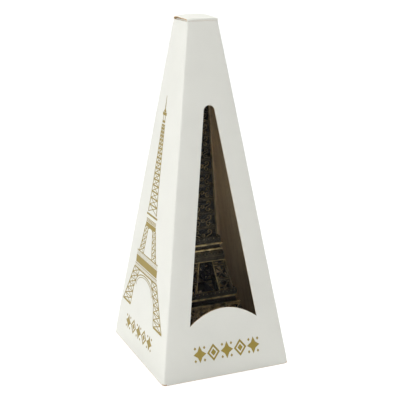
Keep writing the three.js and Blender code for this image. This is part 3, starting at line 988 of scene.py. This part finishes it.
def frieze_band(side):
    """The ornamental girder across the tops of the middle legs on one side."""
    shell = Shell()
    normal = turned_side(side, (0, -1, 0.22))
    low, high = 55.9, 61.5
    proud = 0.35
    at = lambda x, z: turned_side(side, (x, -table(MIDDLE_OUTER, z) - proud, z))
    half = lambda z: table(MIDDLE_OUTER, z) + (proud if side in ("front", "back") else -0.1)
    corners = lambda z: [(-half(z), proud), (half(z), proud), (half(z), 0.02), (-half(z), 0.02)]
    shell.loft([[turned_side(side, (x, -table(MIDDLE_OUTER, z) - out, z)) for x, out in corners(z)]
                for z in (low, high)], [0.04])
    for z, width, wear in ((low + 0.2, 0.36, 0.9), (58.6, 0.3, 0.25), (58.95, 0.2, 0.2),
                           (high - 0.25, 0.3, 0.25)):
        strip(shell, [at(-half(z), z), at(half(z), z)], normal, width, 0.22, 0.08, wear)
    for k in range(26):
        x = lerp(-0.96, 0.96, k / 25)
        strip(shell, [at(x * half(56.2), 56.3), at(x * half(58.5), 58.5)], normal,
              0.2, 0.15, 0.06, 0.2)
    for k in range(11):
        x0, x1 = (lerp(-0.95, 0.95, (k + t) / 11) * half(60) for t in (0.08, 0.92))
        for a, b in ((59.1, 61.1), (61.1, 59.1)):
            strip(shell, [at(x0, a), at(x1, b)], normal, 0.24, 0.16, 0.06, 0.26)
    shell.cast(f"frieze_casting_{side}")


def truss_band(side):
    """The zigzag girder across the tops of the lower legs on one side."""
    shell = Shell()
    normal = turned_side(side, (0, -1, 0.5))
    low, high, gap = 27.6, 30.7, 5.4
    at = lambda x, z: turned_side(side, (x, -table(LOWER_OUTER, z) - 0.05, z))
    half = lambda z: table(LOWER_OUTER, z) - (0 if side in ("front", "back") else 0.6)
    for z in (low, high):
        strip(shell, [at(-half(z), z), at(half(z), z)], normal, 0.6, 0.5, 0.15, 0.9)
    count = int(2 * half(high) / gap)
    for k in range(count):
        x0, x1 = (half(high) * (2 * (k + t) / count - 1) for t in (0, 1))
        middle = (x0 + x1) / 2
        for x in (x0, x1):
            strip(shell, [at(x, high), at(middle, low)], normal, 0.66, 0.42, 0.15, 1.0)
    shell.cast(f"truss_casting_{side}")


def parapet(shell, half, low, high, studs):
    """A thin plain wall standing round a platform, with a row of studs along each side."""
    wall = [(half, low, 0.03), (half - 0.1, high - 0.3, 0.15), (half - 0.2, high, 0.3)]
    square_rings(shell, wall, half - 0.6)
    for side in SIDES:
        normal = turned_side(side, (0, -1, 0))
        for k in range(studs):
            x = lerp(-half + 1.2, half - 1.2, k / (studs - 1))
            z = lerp(low, high, 0.72)
            stud = [turned_side(side, (x, -half + 0.1, z + d)) for d in (-0.22, 0, 0.22)]
            strip(shell, stud, normal, 0.45, 0.35, 0.18, 0.6)


def platform(name, node, lower, frieze, upper, hole, posts, wall):
    """A platform: two rounded gold-edged ledges, each given as (low, high, half width), with a
    recessed frieze of small panels between them, and a parapet on top given as wall."""
    shell = Shell()
    parapet(shell, *wall)
    rings = ledge(lower[2], lower[0], lower[1])
    rings += [(frieze + 0.6, lower[1] + 0.05, 0.1), (frieze, lower[1] + 0.25, 0.03),
              (frieze, upper[0] - 0.2, 0.05), (frieze + 0.5, upper[0] - 0.02, 0.4)]
    rings += ledge(upper[2], upper[0], upper[1])
    square_rings(shell, rings, hole)
    for side in SIDES:
        normal = turned_side(side, (0, -1, 0))
        for k in range(posts + 1):
            x = lerp(-frieze + 0.5, frieze - 0.5, k / posts)
            ends = [turned_side(side, (x, -frieze, z)) for z in (lower[1] + 0.3, upper[0] - 0.25)]
            strip(shell, ends, normal, 0.35, 0.2, 0.1, 0.08)
            if k < posts:
                step = (2 * frieze - 1) / posts
                bow = [turned_side(side, (x + step * (0.5 - 0.42 * math.cos(a)), -frieze,
                                          upper[0] - 0.9 + 0.5 * math.sin(a)))
                       for a in (math.pi * i / 8 for i in range(9))]
                strip(shell, bow, normal, 0.2, 0.15, 0.05, 0.12)
    shell.cast(name, node)


def make_tower():
    """Every casting of the tower, from the legs up to the mast."""
    corners = {"back_right": (1, 1), "back_left": (-1, 1),
               "front_left": (-1, -1), "front_right": (1, -1)}
    for name, quadrant in corners.items():
        leg(f"lower_leg_casting_{name}", f"lower_leg_{name}", quadrant, LOWER_OUTER, LOWER_INNER, 3,
            plinth=True)
        leg(f"middle_leg_casting_{name}", f"middle_leg_{name}", quadrant,
            MIDDLE_OUTER, MIDDLE_INNER, 3)
    for side in SIDES:
        arch(side)
        frieze_band(side)
        truss_band(side)
        shaft_face(side)
    platform("first_platform_casting", "first_platform", lower=(31.2, 32.3, 18.7), frieze=16.6,
             upper=(35.2, 36.3, 17.2), hole=7.5, posts=20, wall=(16.95, 36.2, 39.6, 14))
    platform("second_platform_casting", "second_platform", lower=(61.9, 62.9, 10.9), frieze=9.7,
             upper=(65.0, 66.0, 10.9), hole=3.5, posts=12, wall=(10.0, 65.9, 69.6, 7))

    gallery = Shell()
    square_rings(gallery, [*ledge(6.6, 150.3, 151.4), (4.9, 151.5, 0.3), (4.7, 151.8, 0.2),
                           (4.7, 154.2, 0.5), *ledge(5.7, 154.4, 155.3)])
    for side in SIDES:
        for k in range(7):
            x = lerp(-4.3, 4.3, k / 6)
            strip(gallery, [turned_side(side, (x, -4.7, z)) for z in (151.7, 154.3)],
                  turned_side(side, (0, -1, 0)), 0.4, 0.3, 0.1, 0.6)
    gallery.cast("third_platform_casting", "third_platform")

    lantern = Shell()
    turned(lantern, [(3.7, 155.6), (3.7, 156.4), (3.3, 156.7), (2.9, 157.0), (2.6, 158.5),
                     (2.6, 160.4), (2.9, 160.9), (2.9, 161.2), (2.6, 161.8), (2.1, 162.5),
                     (1.5, 163.2), (1.2, 163.7), (1.15, 164.6), (0.9, 165)], 24)
    for k in range(8):
        a = math.tau * k / 8
        strip(lantern, [(2.6 * math.cos(a), 2.6 * math.sin(a), z) for z in (157.6, 160.4)],
              (math.cos(a), math.sin(a), 0), 0.5, 0.3, 0.1, 0.9)
    lantern.cast("lantern_casting", "lantern", smooth=40)

    mast = Shell()
    turned(mast, [(0.9, 165.3), (0.85, 166.5), (0.7, 167.2), (0.75, 170.8), (0.95, 171.2),
                  (0.95, 171.5), (0.5, 172), (0.45, 176.4), (0.62, 176.7), (0.62, 176.9),
                  (0.32, 177.3), (0.22, 181.4), (0.08, 181.6)], 12)
    mast.cast("mast_casting", "mast", smooth=40)


# ---- Everything ----

make_sleeve()
make_lids()
make_flaps()
make_glue_flap()
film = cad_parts["window_film"]
film.data.materials.clear()
film.data.materials.append(FILM)

LEFT_CENTRE = [(24.5, -1.7), (53, -3.1), (80, -3.6), (149, -3.9)]
printed_tower("left", "foil_tower_left", lambda z: table(LEFT_CENTRE, z))
printed_tower("right", "foil_tower_right", lambda z: 0.0)
ornament_row("front", "foil_row_front", 0.7, 40.0, 8.9, 18.5)
ornament_row("left", "foil_row_left", -2.8, 43.0, 9.4, 18.2)
ornament_row("right", "foil_row_right", 0.0, 43.0, 9.4, 18.2)
make_tower()

# ---- Stage, light and camera ----

floor_mesh = bpy.data.meshes.new("floor")
floor_mesh.from_pydata([(-3, -3, 0), (3, -3, 0), (3, 3, 0), (-3, 3, 0)], [], [(0, 1, 2, 3)])
floor = make_object("floor", floor_mesh)
pale = Nodes("floor_pale")
pale.color(pale.ramp(pale.noise(3, 2), (0.3, (0.95, 0.95, 0.95)), (0.7, (0.97, 0.97, 0.97))))
pale.set(Roughness=0.9, Specular_IOR_Level=0.1)
floor_mesh.materials.append(pale.material)

scene = bpy.context.scene
scene.view_settings.view_transform = "Standard"
world = bpy.data.worlds.new("studio")
world.use_nodes = True
sky = world.node_tree
up_part = sky.nodes.new("ShaderNodeSeparateXYZ")
glow = sky.nodes.new("ShaderNodeValToRGB")
for element, (height, level) in zip(glow.color_ramp.elements, ((0.1, 1.0), (0.18, 0.04))):
    element.position = height
    element.color = (level, level, level, 1)
sky.links.new(sky.nodes.new("ShaderNodeTexCoord").outputs["Generated"], up_part.inputs["Vector"])
sky.links.new(up_part.outputs["Z"], glow.inputs["Fac"])
sky.links.new(glow.outputs["Color"], sky.nodes["Background"].inputs["Color"])
scene.world = world


def softbox(name, location, target, size, power):
    """A square soft light of a size in metres and a power in watts."""
    light = bpy.data.lights.new(name, "AREA")
    light.shape = "RECTANGLE"
    light.size = light.size_y = size
    light.energy = power
    box = make_object(name, light)
    box.location = location
    box.rotation_euler = (Vector(target) - Vector(location)).to_track_quat("-Z", "Y").to_euler()


softbox("key_left", (-1.5, -0.2, 0.5), (0, 0, 0.09), 0.6, 9.5)
softbox("fill_front", (-0.14, -0.44, 0.46), (0, 0, 0.17), 0.24, 0.42)
overhead = bpy.data.lights.new("overhead", "SUN")
overhead.energy = 3.5
overhead.angle = math.radians(25)
sun = make_object("overhead", overhead)
sun.rotation_euler = (math.radians(-8), math.radians(8), 0)

YAW, PITCH, ROLL = math.radians(69.277), math.radians(15.733), math.radians(-1.0687)
forward = Vector((math.cos(YAW) * math.cos(PITCH), math.sin(YAW) * math.cos(PITCH),
                  -math.sin(PITCH)))
level_right = Vector((math.sin(YAW), -math.cos(YAW), 0))
level_up = level_right.cross(forward)
right = level_right * math.cos(ROLL) + level_up * math.sin(ROLL)
up = level_up * math.cos(ROLL) - level_right * math.sin(ROLL)
lens = bpy.data.cameras.new("camera")
lens.lens, lens.sensor_width, lens.shift_x = 86.45, 36, 0.1
camera = make_object("camera", lens)
camera.matrix_world = Matrix((right, up, -forward)).transposed().to_4x4()
camera.matrix_world.translation = Vector((-1.0697, -2.5194, 1.2409)) * HEIGHT * MM
scene.camera = camera
